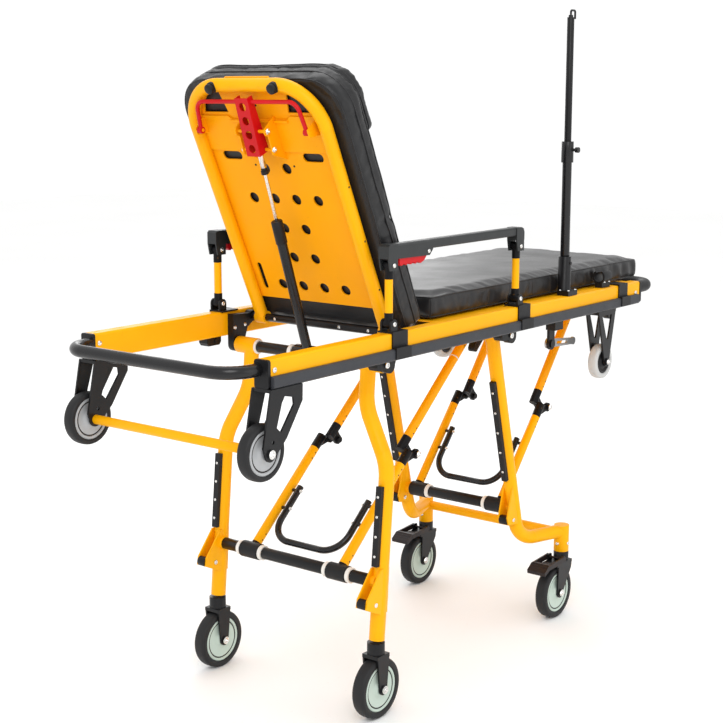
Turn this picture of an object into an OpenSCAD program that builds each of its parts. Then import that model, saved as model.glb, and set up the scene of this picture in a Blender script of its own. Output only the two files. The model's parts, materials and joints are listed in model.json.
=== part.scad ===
/* [Rails] */
// Length of each side rail
rail_len = 1628; // [1600:1:1640]
// Width of the rail section
rail_w = 36; // [34:1:38]
// Height of the rail section
rail_h = 62; // [60:1:64]
// Wall thickness of the rail section
rail_wall = 6; // [4:0.5:8]
// Height of the underside of the rails above the floor
rail_z = 874; // [873:1:875]
// Distance from the middle plane to the inner face of a rail
rail_in = 252; // [251:1:253]

/* [Legs] */
// Diameter of the leg tubes
leg_d = 38; // [34:1:38]
// Diameter of the pivot tubes that carry the legs and the stays
pivot_d = 28; // [26:1:29]
// Diameter of the cross tubes low on the legs
cross_d = 30; // [26:1:32]
// Diameter of the folding stays
stay_d = 24.6; // [22:0.2:24.8]
// Diameter of the bent bars inside the stays
hoop_d = 17; // [14:1:18]

/* [Wheels] */
// Diameter of the four floor wheels
castor_d = 150; // [140:1:150]
// Tread width of the floor wheels
castor_w = 34; // [28:1:34]
// Diameter of the two loading wheels at the head end
loading_d = 125; // [110:1:130]
// Diameter of the two small wheels under the foot end
aux_d = 100; // [90:1:104]

/* [Backrest] */
// Backrest angle above the horizontal
back_angle = 65.26; // [62:0.01:66]
// Length of the backrest frame from its hinge to its top edge
back_len = 656; // [650:1:660]
// Outer width of the backrest frame
back_w = 430; // [426:1:434]
// Diameter of the backrest tube
back_tube = 32; // [30:1:32]

/* [Mattress] */
// Width of the leg cushion
pad_w = 480; // [440:1:480]
// Thickness of the leg cushion
pad_t = 59; // [40:1:70]
// Width of the backrest cushion
back_pad_w = 496; // [460:1:500]
// Thickness of the backrest cushion
back_pad_t = 75; // [60:1:80]

/* [Armrests and pole] */
// Distance between the lower and the upper pivot of an armrest post
post_len = 136; // [130:1:140]
// Diameter of the armrest posts
post_d = 19; // [16:1:20]
// Outer diameter of the lower pole tube
pole_d = 25; // [24:1:26]
// Diameter of the sliding pole tube
inner_pole_d = 19; // [17:1:20]

/* [Hidden] */
$fn = 48;
fit = 0.1;          // diametral play of a running fit
gap = 0.4;          // side play between moving faces
bend_swell = 0.14;  // a bend is this much thicker than the straight tube
bend_lap = 1;       // length of straight tube inside the end of a bend

// Rails
rail_x0 = -833;
rail_x1 = rail_x0 + rail_len;
rail_out = rail_in + rail_w;
rail_mid = rail_in + rail_w / 2;
rail_top = rail_z + rail_h;
bumper_out = 300;
cap_t = 8;

// Pivot axes as [x, z]
front_pivot = [-370, 852];
rear_pivot = [162, 852];
foot_pivot = [695, 852];
hinge = [-314.5, 918.5];
casting_y = 232;

// Front leg: floor end, stay pivot, knee
front_foot = [-435, 160];
front_low = [-428, 337];
front_mid = [-149, 584];
front_knee = [-117, 572];
front_leg_y = 261;
upper_leg_y = 187;
stay_y = [142, 116];

// Rear leg
rear_corner = [311, 246];
rear_low = [282, 345];
rear_mid = [495, 598];
rear_knee = [529, 584];
castor_stem = [464.5, 239];
castor_trail = 38;
pedal_pin = [castor_stem[0] - 28, castor_d + 22];

// Wheels
axle_d = 12;
loading_axle = [-846, 738];
loading_y = 271;
aux_axle = [598, 725];
aux_y = 273;
castor_z = castor_d / 2;

// Armrests
arm_y = 271;
arm_base_z = 957;
arm_x = [-402, 141];
arm_pin = 8;
hub_r = 11;
lever_hinge = [-263, 1115];

// Backrest release handle and gas spring, measured up the backrest and behind it
release_pivot = [537, 25];
spring_eye = [490, 22];
spring_body = 350;

// Pole
pole_x = 408;
pole_y = -260;
clip_x = [590, 636];

// ---- Shared shapes ----

function unit(v) = v / norm(v);
// Point [x, z] at height z on the line from a to b
function at_height(a, b, z) = a + (b - a) * (z - a[1]) / (b[1] - a[1]);
// Point [x, z] at distance d from a toward b
function along(a, b, d) = a + (b - a) * d / norm(b - a);
// Point [x, z] moved d square to the line from a to b
function beside(a, b, p, d) = p + [-(b - a)[1], (b - a)[0]] * d / norm(b - a);
function at_y(p, y) = [p[0], y, p[1]];

// Round bar from a to b
module rod(a, b, d) {
    v = b - a;
    translate(a)
        rotate([0, acos(v[2] / norm(v)), atan2(v[1], v[0])])
            cylinder(d = d, h = norm(v));
}

// Round bar across the trolley at p = [x, z]
module crossbar(p, y0, y1, d) {
    rod(at_y(p, min(y0, y1)), at_y(p, max(y0, y1)), d);
}

// Plate from y0 to y1; each child is an outline in x and z
module plate(y0, y1) {
    for (i = [0:$children - 1])
        translate([0, y1, 0]) rotate([90, 0, 0]) linear_extrude(y1 - y0) children(i);
}

// Bar with an outline in y and z, from x0 to x1
module along_x(x0, x1) {
    translate([x0, 0, 0]) rotate([90, 0, 90]) linear_extrude(x1 - x0) children();
}

// Round elbow at corner p between directions a and b
module elbow(p, a, b, bend_r, d) {
    n = unit(b - (b * a) * a);
    turn = acos(a * b);
    c = p - a * bend_r * tan(turn / 2) + n * bend_r;
    x = -n;
    z = cross(x, a);
    multmatrix([[x[0], a[0], z[0], c[0]], [x[1], a[1], z[1], c[1]],
            [x[2], a[2], z[2], c[2]], [0, 0, 0, 1]])
        rotate_extrude(angle = turn) translate([bend_r, 0]) circle(d = d + bend_swell);
}

// Bent round tube through the points of a path
module bent_tube(path, bend_r, d) {
    last = len(path) - 1;
    dirs = [for (i = [0:last - 1]) unit(path[i + 1] - path[i])];
    cut = [for (i = [0:last]) (i == 0 || i == last) ? 0
        : bend_r * tan(acos(dirs[i - 1] * dirs[i]) / 2) - bend_lap];
    for (i = [0:last - 1])
        rod(path[i] + dirs[i] * cut[i], path[i + 1] - dirs[i] * cut[i + 1], d);
    for (i = [1:last - 1])
        elbow(path[i], dirs[i - 1], dirs[i], bend_r, d);
}

// Left is +Y, right is its mirror image
module both_sides() {
    children();
    mirror([0, 1, 0]) children();
}

module rounded_rect(w, h, r) {
    translate([-w / 2 + r, -h / 2]) square([w - 2 * r, h]);
    translate([-w / 2, -h / 2 + r]) square([w, h - 2 * r]);
    for (x = [-1, 1], y = [-1, 1])
        translate([x * (w / 2 - r), y * (h / 2 - r)]) circle(r);
}

// Wheel with its axle along Y at p = [x, z]
module wheel(p, y, d, w, rim_d, boss_d) {
    shoulder = w / 5;
    translate([p[0], y, p[1]]) rotate([90, 0, 0]) rotate_extrude() {
        translate([rim_d / 2, -w / 2]) square([d / 2 - rim_d / 2 - shoulder, w]);
        translate([rim_d / 2, shoulder - w / 2])
            square([d / 2 - rim_d / 2, w - 2 * shoulder]);
        for (s = [-1, 1])
            translate([d / 2 - shoulder, s * (w / 2 - shoulder)]) circle(shoulder);
        translate([boss_d / 2, -w / 2 + 3]) square([rim_d / 2 - boss_d / 2, w - 6]);
        translate([(axle_d + fit) / 2, -w / 2 - 1])
            square([(boss_d - axle_d - fit) / 2, w + 2]);
    }
}

// Two side plates with a crown above a wheel, centred on y
module fork(top, top_w, crown_z, axle, y, half_gap, thick, boss_r) {
    for (s = [-1, 1]) {
        inner = y + s * half_gap;
        outer = y + s * (half_gap + thick);
        difference() {
            plate(min(inner, outer), max(inner, outer)) {
                polygon([top + [-top_w / 2, 0], top + [top_w / 2, 0],
                        axle + [boss_r, 4], axle + [-boss_r, 4]]);
                translate(axle) circle(boss_r);
            }
            children();
        }
    }
    translate([top[0] - top_w / 2, y - half_gap - thick, crown_z])
        cube([top_w, 2 * (half_gap + thick), top[1] - crown_z]);
    crossbar(axle, y - half_gap - thick - 3, y + half_gap + thick + 3, axle_d);
    for (s = [-1, 1])
        crossbar(axle, y + s * (half_gap + thick), y + s * (half_gap + thick + 4), 20);
}

// ---- Rails, castings and handles ----

module side_rail() {
    along_x(rail_x0, rail_x1) translate([rail_mid, rail_z + rail_h / 2]) difference() {
        rounded_rect(rail_w, rail_h, 5);
        square([rail_w - 2 * rail_wall, rail_h - 2 * rail_wall], center = true);
    }
}

module bumper_section() {
    polygon([[rail_out, rail_z], [bumper_out - 4, rail_z], [bumper_out, rail_z + 4],
            [bumper_out, rail_z + 23], [bumper_out - 4, rail_z + 27],
            [rail_out, rail_z + 27]]);
}

module rail_bumpers() {
    color("dimgray") both_sides() along_x(rail_x0, 777) bumper_section();
}

// Saddle over a rail; it also wraps the bumper strip
module collar(x0, x1) {
    along_x(x0, x1) difference() {
        union() {
            translate([rail_in - 5, rail_top]) square([rail_w + 9, 4]);
            translate([rail_out, rail_z + 6]) square([4, rail_h - 2]);
            translate([rail_out, rail_z + 3]) square([bumper_out + 3 - rail_out, 27]);
        }
        translate([rail_in, rail_z]) square([rail_w, rail_h]);
        translate([rail_out, rail_z]) square([bumper_out - rail_out, 27]);
    }
}

// Clevis on a collar for an armrest post
module armrest_ears(x) {
    for (s = [-1, 1]) {
        a = arm_y + s * (hub_r + gap);
        b = arm_y + s * (hub_r + gap + 5);
        plate(min(a, b), max(a, b)) {
            translate([x - 12, rail_top + 3]) square([24, arm_base_z - rail_top - 3]);
            translate([x, arm_base_z]) circle(12);
        }
    }
    crossbar([x, arm_base_z], arm_y - hub_r - 5, arm_y + hub_r + 5, arm_pin);
}

// Casting under a rail with its cross bolt
module under_rail_bracket(x0, x1, bolt_x) {
    plate(rail_in + 4, rail_out - 4)
        polygon([[x0, rail_z], [x0, rail_z - 12], [x0 + 6, rail_z - 20],
                [x1 - 6, rail_z - 20], [x1, rail_z - 12], [x1, rail_z]]);
    crossbar([bolt_x, rail_z - 9], rail_in + 1, rail_out - 1, 12);
}

module rail_castings() {
    color("#202224") both_sides() {
        for (x = [[-413, -355], [128, 184], [665, 715]]) collar(x[0], x[1]);
        for (x = arm_x) armrest_ears(x);
        under_rail_bracket(-461, -410, -428);
        under_rail_bracket(63, 122, 103);
        for (x = [rail_x0 - cap_t, rail_x1])
            along_x(x, x + cap_t) translate([rail_mid, rail_z + rail_h / 2])
                rounded_rect(rail_w + 4, rail_h, 6);
    }
}

// Plate on the inner face of a rail that holds a pivot tube
module pivot_plate(p, half) {
    difference() {
        plate(casting_y, rail_in) {
            translate([p[0] - half, p[1]]) square([2 * half, rail_top - 6 - p[1]]);
            translate(p) circle(19);
        }
        crossbar(p, casting_y - 1, rail_in + 1, pivot_d);
    }
}

// Front casting: pivot tube below, backrest hinge above on a web
module front_casting() {
    difference() {
        plate(casting_y, rail_in) {
            translate(front_pivot) circle(19);
            translate(hinge) circle(14);
            polygon([front_pivot + [-19, 0], front_pivot + [19, 0],
                    front_pivot + [34, 40], hinge + [14, -4], hinge + [12, 7],
                    [front_pivot[0] - 19, rail_top - 6]]);
        }
        crossbar(front_pivot, casting_y - 1, rail_in + 1, pivot_d);
        crossbar(hinge, casting_y - 1, rail_in + 1, 20);
    }
}

// Drop-shaped stop on the rear pivot tube
module fold_bumper() {
    difference() {
        plate(138, 158) {
            translate(rear_pivot) circle(18.5);
            translate([132, 813]) circle(9);
            polygon([[148, 864], [124, 817], [139, 808], [178, 843]]);
        }
        crossbar(rear_pivot, 137, 159, pivot_d);
    }
}

module pivot_castings() {
    color("#202224") both_sides() {
        front_casting();
        pivot_plate(rear_pivot, 19);
        pivot_plate(foot_pivot, 19);
        fold_bumper();
    }
}

module pivot_tubes() {
    color("#202224")
        for (p = [front_pivot, rear_pivot, foot_pivot])
            crossbar(p, -rail_in, rail_in, pivot_d);
}

module backrest_hinge_tube() {
    color("#202224") crossbar(hinge, -rail_in, rail_in, 20);
}

module u_handle(x_in, x_bar, y, z, bend_r, d) {
    bent_tube([[x_in, y, z], [x_bar, y, z], [x_bar, -y, z], [x_in, -y, z]],
        bend_r, d);
}

module head_handle() {
    color("#1b1c1e") u_handle(rail_x0 - cap_t, -920.5, 259, 913, 66, 29);
}

module foot_handle() {
    color("#1b1c1e") u_handle(rail_x1 + cap_t, 917, 266, 915, 62, 36);
}

// ---- Loading wheels and small foot wheels ----

module loading_crossbar() {
    color("gold") crossbar(loading_axle, -243, 243, 22);
}

module loading_bracket() {
    for (y = [243, 294]) difference() {
        plate(y, y + 5) {
            polygon([[-842, rail_z], [-741, rail_z], [-742, 838], [-794, 764],
                    loading_axle + [16, -8], loading_axle + [-17, 2], [-868, 753]]);
            translate(loading_axle) circle(17);
        }
        plate(y - 1, y + 6)
            polygon([[-804, 856], [-772, 849], [-770, 833], [-812, 779], [-826, 790]]);
        crossbar([-838, 762], y - 1, y + 6, 9);
    }
    translate([-842, 248, rail_z - 7]) cube([101, 46, 7]);
    crossbar(loading_axle, 248, 294, axle_d);
    crossbar(loading_axle, 299, 303, 20);
}

module loading_wheel_brackets() {
    color("#202224") both_sides() loading_bracket();
}

module loading_wheel() {
    wheel(loading_axle, loading_y, loading_d, 30, 92, 34);
}

module aux_fork() {
    fork([594, rail_z], 98, rail_z - 8, aux_axle, aux_y, 17, 5, 14)
        plate(aux_y - 30, aux_y + 30)
            polygon([[566, 860], [620, 860], [602, 790], [594, 790]]);
}

module aux_wheel_forks() {
    color("#202224") both_sides() aux_fork();
}

module aux_wheel() {
    wheel(aux_axle, aux_y, aux_d, 28, 64, 30);
}

// ---- Deck and mattress ----

module leg_deck() {
    color("gold") difference() {
        translate([-188, -rail_in, rail_top - 6]) cube([976, 2 * rail_in, 4]);
        both_sides() for (x = [[128, 184], [665, 715]])
            translate([x[0] - 1, rail_in - 6, rail_top - 8])
                cube([x[1] - x[0] + 2, 8, 8]);
        both_sides() for (p = [rear_pivot, foot_pivot])
            translate([p[0] - 20, casting_y - 1, rail_top - 8]) cube([40, 22, 8]);
    }
}

module leg_mattress() {
    color("#2a2b2e") translate([0, 0, rail_top + 1]) linear_extrude(pad_t)
        translate([341.5, 0]) rounded_rect(1063, pad_w, 36);
}

// ---- Backrest: x runs up the backrest, z points behind it ----

module on_backrest() {
    translate([hinge[0], 0, hinge[1]]) rotate([0, back_angle - 180, 0]) children();
}

back_y = (back_w - back_tube) / 2;
back_top = back_len - back_tube / 2;
back_bend = 110;

module backrest_frame() {
    color("gold") difference() {
        on_backrest() {
            bent_tube([[0, back_y, 0], [back_top, back_y, 0],
                    [back_top, -back_y, 0], [0, -back_y, 0]], back_bend, back_tube);
            for (s = [-1, 1])
                rod([0, s * back_y - 16, 0], [0, s * back_y + 16, 0], back_tube);
        }
        crossbar(hinge, -rail_in, rail_in, 20 + fit);
    }
}

// Panel edge where the sheet meets the inside of the tube
panel_half = back_y - 12.8;
panel_top = back_top - 12.8;
panel_bend = back_bend - 12.8;

module panel_outline() {
    translate([58, -panel_half]) square([panel_top - panel_bend - 58, 2 * panel_half]);
    translate([58, panel_bend - panel_half])
        square([panel_top - 58, 2 * (panel_half - panel_bend)]);
    for (s = [-1, 1])
        translate([panel_top - panel_bend, s * (panel_half - panel_bend)])
            circle(panel_bend);
}

module panel_openings() {
    pitch = 66.7;
    for (row = [[101, 3], [182, 1], [263, 1], [343, 3], [424, 1]])
        for (k = [-row[1]:2:row[1]])
            translate([row[0], k * pitch / 2]) circle(d = 28);
    for (s = [-1, 1]) {
        translate([455, s * 125]) rounded_rect(22, 61, 10.9);
        polygon([[567, s * 92], [622, s * 104], [622, s * 132], [594, s * 160],
                [567, s * 168]]);
    }
    translate([120, 160]) rounded_rect(75, 14, 6.9);
}

module release_ears() {
    for (s = [-1, 1]) {
        rotate([90, 0, 0]) translate([0, 0, s * 45 - 2]) linear_extrude(4) {
            polygon([[450, -10], [560, -10], [release_pivot[0] + 11, release_pivot[1]],
                    [spring_eye[0] - 10, spring_eye[1] + 8]]);
            translate(release_pivot) circle(11);
        }
        rod([spring_eye[0], s * 21, spring_eye[1]], [spring_eye[0], s * 45, spring_eye[1]],
            8);
    }
    rod([release_pivot[0], -47, release_pivot[1]],
        [release_pivot[0], 47, release_pivot[1]], 8);
    // Outer lugs that carry the ends of the bar
    for (s = [-1, 1]) {
        rotate([90, 0, 0]) translate([0, 0, s * 173 - 2]) linear_extrude(4)
            polygon([[516, -10], [558, -10], [release_pivot[0] + 9, 33],
                    [release_pivot[0] - 9, 33]]);
        rod([release_pivot[0], s * 156, release_pivot[1]],
            [release_pivot[0], s * 176, release_pivot[1]], 8);
    }
}

module backrest_panel() {
    color("gold") on_backrest() {
        translate([0, 0, -14]) linear_extrude(4) difference() {
            panel_outline();
            panel_openings();
        }
        translate([546, -88, -10]) cube([5, 176, 9]);
        release_ears();
    }
}

// Cushion outline: round top corners, side view with a pillow bulge
module backrest_mattress() {
    half = back_pad_w / 2;
    foot_s = -16;
    head_s = 650;
    corner = 88;
    color("#2a2b2e") on_backrest() intersection() {
        translate([0, 0, -17 - back_pad_t - 26]) linear_extrude(back_pad_t + 26) {
            translate([foot_s, -half]) square([head_s - corner - foot_s, 2 * half]);
            translate([foot_s, corner - half])
                square([head_s - foot_s, 2 * (half - corner)]);
            for (s = [-1, 1])
                translate([head_s - corner, s * (half - corner)]) circle(corner);
        }
        plate(-half, half)
            polygon([[foot_s, -17], [foot_s, -17 - back_pad_t],
                    [450, -17 - back_pad_t], [486, -17 - back_pad_t - 24],
                    [head_s - 34, -17 - back_pad_t - 26],
                    [head_s, -17 - back_pad_t + 6], [head_s, -17]]);
    }
}

module backrest_knobs() {
    color("#202224") on_backrest() for (s = [-1, 1])
        rod([back_top, s * 95, back_tube / 2], [back_top, s * 95, back_tube / 2 + 13], 27);
}

module backrest_release_handle() {
    web = [46, 30];
    web_s = [483, 620];
    bar_s = 608;
    bar_back = 20;
    color("firebrick") on_backrest() difference() {
        union() {
            bent_tube([[release_pivot[0], 163, release_pivot[1]], [bar_s, 153, bar_back],
                    [bar_s, -153, bar_back], [release_pivot[0], -163, release_pivot[1]]],
                26, 10);
            for (s = [-1, 1])
                rod([release_pivot[0], s * 157, release_pivot[1]],
                    [release_pivot[0], s * 170, release_pivot[1]], 16);
            difference() {
                plate(-20, 20) polygon([[web_s[0], 12], [web_s[1], 12],
                    [web_s[1], web[1]], [web_s[0], web[0]]]);
                plate(-17, 17) polygon([[web_s[0] - 1, 11], [web_s[1] + 1, 11],
                    [web_s[1] + 1, web[1] - 3.1], [web_s[0] - 1, web[0] - 2.9]]);
            }
        }
        for (i = [0:3]) rod([501 + 33 * i, 0, 43.9 - 3.9 * i - 5.5],
            [501 + 33 * i, 0, 43.9 - 3.9 * i + 8], 20);
        rod([release_pivot[0], -180, release_pivot[1]],
            [release_pivot[0], 180, release_pivot[1]], 8 + fit);
    }
}

// ---- Gas spring ----

spring_top = [hinge[0] - spring_eye[0] * cos(back_angle) - spring_eye[1] * sin(back_angle),
    hinge[1] + spring_eye[0] * sin(back_angle) - spring_eye[1] * cos(back_angle)];

module gas_spring_cylinder() {
    end = along(front_pivot, spring_top, spring_body);
    color("#1b1c1e") difference() {
        union() {
            crossbar(front_pivot, -28, 37, 42);
            rod(at_y(front_pivot, 0), at_y(end, 0), 24);
        }
        crossbar(front_pivot, -29, 38, pivot_d + fit);
        rod(at_y(along(front_pivot, spring_top, 40), 0), at_y(end, 0) * 2
            - at_y(along(front_pivot, spring_top, spring_body - 2), 0), 9 + fit);
    }
}

module gas_spring_rod() {
    start = along(front_pivot, spring_top, 140);
    neck = along(spring_top, front_pivot, 45);
    color("silver") {
        rod(at_y(start, 0), at_y(neck, 0), 9);
        rod(at_y(neck, 0), at_y(spring_top, 0), 14);
        crossbar(spring_top, -6, 6, 14);
    }
}

// ---- Front legs ----

// Gusset plates and the boss of the low cross tube beside a leg
module leg_gusset(y, outline) {
    for (s = [-1, 1]) {
        a = y + s * 12;
        b = y + s * 16;
        plate(min(a, b), max(a, b)) polygon(outline);
    }
}

front_top = [front_pivot[0], front_pivot[1]];
front_bend_1 = at_height(front_top, front_foot, 750);
front_bend_2 = at_height(front_top, front_foot, 615);
front_nose = [-483, 297];

module front_leg() {
    difference() {
        union() {
            bent_tube([at_y(front_top, upper_leg_y), at_y(front_bend_1, upper_leg_y),
                    at_y(front_bend_2, front_leg_y),
                    at_y(at_height(front_top, front_foot, 195), front_leg_y)], 130, leg_d);
            crossbar(front_pivot, 167, 230, 42);
            crossbar(front_low, 236, front_leg_y, 34);
            leg_gusset(front_leg_y, [[-416, 372], [-404, 372], [-412, 262], [-438, 262],
                    front_nose + [-10, -9], front_nose + [-6, 12], [-436, 372]]);
        }
        crossbar(front_pivot, 166, 231, pivot_d + fit);
    }
}

module front_leg_frame() {
    color("gold") both_sides() front_leg();
}

module front_lower_tube() {
    color("#202224") crossbar(front_low, -236, 236, cross_d);
}

// Strip along the outside of a leg between two heights
module buffer_strip(a, b, z0, z1, y) {
    p = at_height(a, b, z0);
    q = at_height(a, b, z1);
    difference() {
        plate(y - 8, y + 8)
            polygon([beside(a, b, p, -16), beside(a, b, p, -29),
                    beside(a, b, q, -29), beside(a, b, q, -16)]);
        rod(at_y(a, y), at_y(b, y), leg_d + 0.2);
    }
}

module front_buffer_strips() {
    color("#202224") both_sides() {
        buffer_strip(front_top, front_foot, 568, 376, front_leg_y);
        crossbar(front_nose, front_leg_y - 12, front_leg_y + 12, 25);
    }
}

module front_castor_forks() {
    color("#202224") both_sides() {
        translate([front_foot[0], front_leg_y, front_foot[1] + 2]) cylinder(d = 43, h = 28);
        fork(front_foot + [0, 2], 46, castor_d + 3, [front_foot[0], castor_z],
            front_leg_y, castor_w / 2 + 2, 5, 14);
    }
}

module front_wheel() {
    wheel([front_foot[0], castor_z], front_leg_y, castor_d, castor_w, 112, 34);
}

// ---- Folding stays ----

// Stay from pivot p to the knee: tube to the middle point, then a knuckle plate
module stay(p, mid, knee, y, eye_d, eye_w) {
    difference() {
        union() {
            rod(at_y(p, y), at_y(mid, y), stay_d);
            crossbar(p, y - eye_w / 2, y + eye_w / 2, eye_d + 11);
            plate(y - 4, y + 4) {
                translate(knee) circle(13);
                polygon([beside(p, mid, mid, 10), beside(p, mid, mid, -10),
                        knee + unit(mid - knee) * 4 + unit(mid - p) * 11,
                        knee + unit(mid - p) * 12, knee - unit(mid - p) * 12,
                        beside(p, mid, along(mid, p, 34), -8)]);
            }
            crossbar(knee, y - 11, y + 11, 16);
        }
        crossbar(p, y - eye_w / 2 - 1, y + eye_w / 2 + 1, eye_d + fit);
    }
}

module front_lower_stays() {
    color("gold") both_sides()
        stay(front_low, front_mid, front_knee, stay_y[0], cross_d, 24.6);
}

module front_upper_stays() {
    color("gold") both_sides()
        stay(rear_pivot, front_mid, front_knee, stay_y[1], pivot_d, 24.6);
}

module rear_lower_stays() {
    color("gold") both_sides()
        stay(rear_low, rear_mid, rear_knee, stay_y[0], cross_d, 24.6);
}

module rear_upper_stays() {
    color("gold") both_sides()
        stay(foot_pivot, rear_mid, rear_knee, stay_y[1], pivot_d, 24.6);
}

// Bent bar between the two lower stays, on lugs at its ends
module stay_hoop(low, mid, start, finish) {
    y = 112;
    a = along(low, mid, finish);
    b = along(low, mid, start);
    bent_tube([at_y(a, y), at_y(b, y), at_y(b, -y), at_y(a, -y)], 60, hoop_d);
    both_sides() for (d = [14, 70])
        crossbar(along(low, mid, finish - d), y, stay_y[0] - stay_d / 2 - 0.2, 9);
}

module front_hoop() {
    color("#1b1c1e") stay_hoop(front_low, front_mid, 46, 208);
}

module rear_hoop() {
    color("#1b1c1e") stay_hoop(rear_low, rear_mid, 58, 212);
}

// ---- Rear legs ----

rear_nose = [243, 320];

module rear_leg() {
    difference() {
        union() {
            bent_tube([at_y(rear_pivot, upper_leg_y), at_y(rear_corner, upper_leg_y),
                    [castor_stem[0], castor_stem[1], rear_corner[1]]], 72, leg_d);
            crossbar(rear_pivot, 166, 208, 42);
            crossbar(rear_low, 160, upper_leg_y, 34);
            leg_gusset(upper_leg_y, [[262, 432], [276, 432], [304, 300],
                    rear_nose + [-4, -12], rear_nose + [-11, 8]]);
            translate([castor_stem[0], castor_stem[1], 188]) cylinder(d = 43, h = 76);
        }
        crossbar(rear_pivot, 165, 209, pivot_d + fit);
    }
}

module rear_leg_frame() {
    color("gold") {
        both_sides() rear_leg();
        crossbar([castor_stem[0], 240], 12 - castor_stem[1], castor_stem[1] - 12, 26);
    }
}

module rear_lower_tube() {
    color("#202224") crossbar(rear_low, -160, 160, cross_d);
}

module rear_buffer_strips() {
    color("#202224") both_sides() {
        buffer_strip(rear_pivot, rear_corner, 725, 438, upper_leg_y);
        crossbar(rear_nose, upper_leg_y - 12, upper_leg_y + 12, 26);
    }
}

module rear_castor() {
    axle = [castor_stem[0] - castor_trail, castor_z];
    y = castor_stem[1];
    translate([castor_stem[0], y, castor_d + 12]) cylinder(d = 43, h = 26 - gap);
    translate([castor_stem[0] - 58, y - 24, castor_d + 3]) cube([80, 48, 9]);
    for (s = [-1, 1]) {
        a = y + s * (castor_w / 2 + 2);
        b = y + s * (castor_w / 2 + 7);
        plate(min(a, b), max(a, b)) {
            polygon([[castor_stem[0] - 50, castor_d + 12], [castor_stem[0] + 22, castor_d + 12],
                    [castor_stem[0] + 18, castor_d - 12], axle + [15, 2], axle + [-15, 2]]);
            translate(axle) circle(15);
        }
    }
    crossbar(axle, y - 27, y + 27, axle_d);
    for (s = [-1, 1]) crossbar(axle, y + s * 24, y + s * 28, 20);
    // Upstands with the bore of the pedal pin; the pin passes in front of the swivel
    for (s = [-1, 1])
        difference() {
            plate(y + s * 21.5 - 2.5, y + s * 21.5 + 2.5)
                polygon([pedal_pin + [-12, -10], pedal_pin + [12, -10],
                        pedal_pin + [8, 8], pedal_pin + [-8, 8]]);
            crossbar(pedal_pin, y + s * 18, y + s * 25, 6 + fit);
        }
}

module brake_pedal() {
    y = castor_stem[1];
    tip = castor_stem[0] - 134;
    for (s = [-1, 1])
        plate(y + s * 26.7 - 2.4, y + s * 26.7 + 2.4) {
            translate(pedal_pin) circle(8);
            polygon([pedal_pin + [0, 8], pedal_pin + [0, -8],
                    [tip + 26, castor_d + 10], [tip + 26, castor_d + 24]]);
        }
    plate(y - 29, y + 29)
        polygon([[tip, castor_d - 2], [tip + 26, castor_d + 10],
                [tip + 34, castor_d + 14], [tip + 34, castor_d + 24],
                [tip + 20, castor_d + 24], [tip - 2, castor_d + 8]]);
    // Brake shoe over the tread
    plate(y - 14, y + 14)
        polygon([[tip + 30, castor_d + 22], [tip + 71, castor_d + 16],
                [tip + 71, castor_d + 4], [tip + 56, castor_d + 4],
                [tip + 30, castor_d + 14]]);
    crossbar(pedal_pin, y - 29, y + 29, 6);
}

module rear_wheel() {
    wheel([castor_stem[0] - castor_trail, castor_z], castor_stem[1], castor_d, castor_w,
        112, 34);
}

// ---- Armrests ----

module armrest_post(x) {
    top_z = arm_base_z + post_len;
    color("gold") difference() {
        union() {
            translate([x, arm_y, arm_base_z]) cylinder(d = post_d, h = post_len);
            translate([x, arm_y, arm_base_z]) cylinder(r = hub_r - 0.6, h = 26);
            translate([x, arm_y, top_z - 32]) cylinder(r = hub_r - 0.6, h = 32);
            for (z = [arm_base_z, top_z])
                crossbar([x, z], arm_y - hub_r, arm_y + hub_r, 2 * hub_r);
        }
        for (z = [arm_base_z, top_z])
            crossbar([x, z], arm_y - 14, arm_y + 14, arm_pin + fit);
    }
}

module armrest_grip() {
    top_z = arm_base_z + post_len;
    bar = [top_z + 27, top_z + 49];
    wall = hub_r + gap;
    color("#202224") {
        // Cover over each post top, open below and toward the head
        for (x = arm_x) {
            for (s = [-1, 1]) {
                a = arm_y + s * wall;
                b = arm_y + s * (wall + 3.6);
                plate(min(a, b), max(a, b))
                    polygon([[x - 20, top_z + 16], [x - 14, top_z - 12], [x + 15, top_z - 12],
                            [x + 15, bar[1] - 14], [x - 14, bar[1] - 14]]);
            }
            plate(arm_y - wall - 3.6, arm_y + wall + 3.6)
                polygon(concat([[x - 20, top_z + 16], [x + 16, top_z + 16]],
                    x == arm_x[1]
                        ? [[x + 16, bar[1] - 13], [x + 12, bar[1] - 4], [x + 3, bar[1]],
                            [x - 20, bar[1]]]
                        : [[x + 16, bar[1]], [x - 15, bar[1]], [x - 20, bar[1] - 5]]));
            crossbar([x, top_z], arm_y - wall - 3, arm_y + wall + 3, arm_pin);
        }
        along_x(arm_x[0] + 16, arm_x[1] - 20) translate([arm_y, (bar[0] + bar[1]) / 2])
            rounded_rect(26, bar[1] - bar[0], 5);
        // Channel that holds the lever
        for (s = [-1, 1]) {
            a = arm_y + s * 10;
            b = arm_y + s * 13;
            plate(min(a, b), max(a, b))
                polygon([[arm_x[0] + 15, bar[0] + 8], [arm_x[0] + 15, lever_hinge[1] - 8],
                        lever_hinge + [4, -10], lever_hinge + [16, 2],
                        [lever_hinge[0] + 22, bar[0] + 8]]);
        }
        crossbar(lever_hinge, arm_y - 12, arm_y + 12, 5);
    }
}

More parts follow.
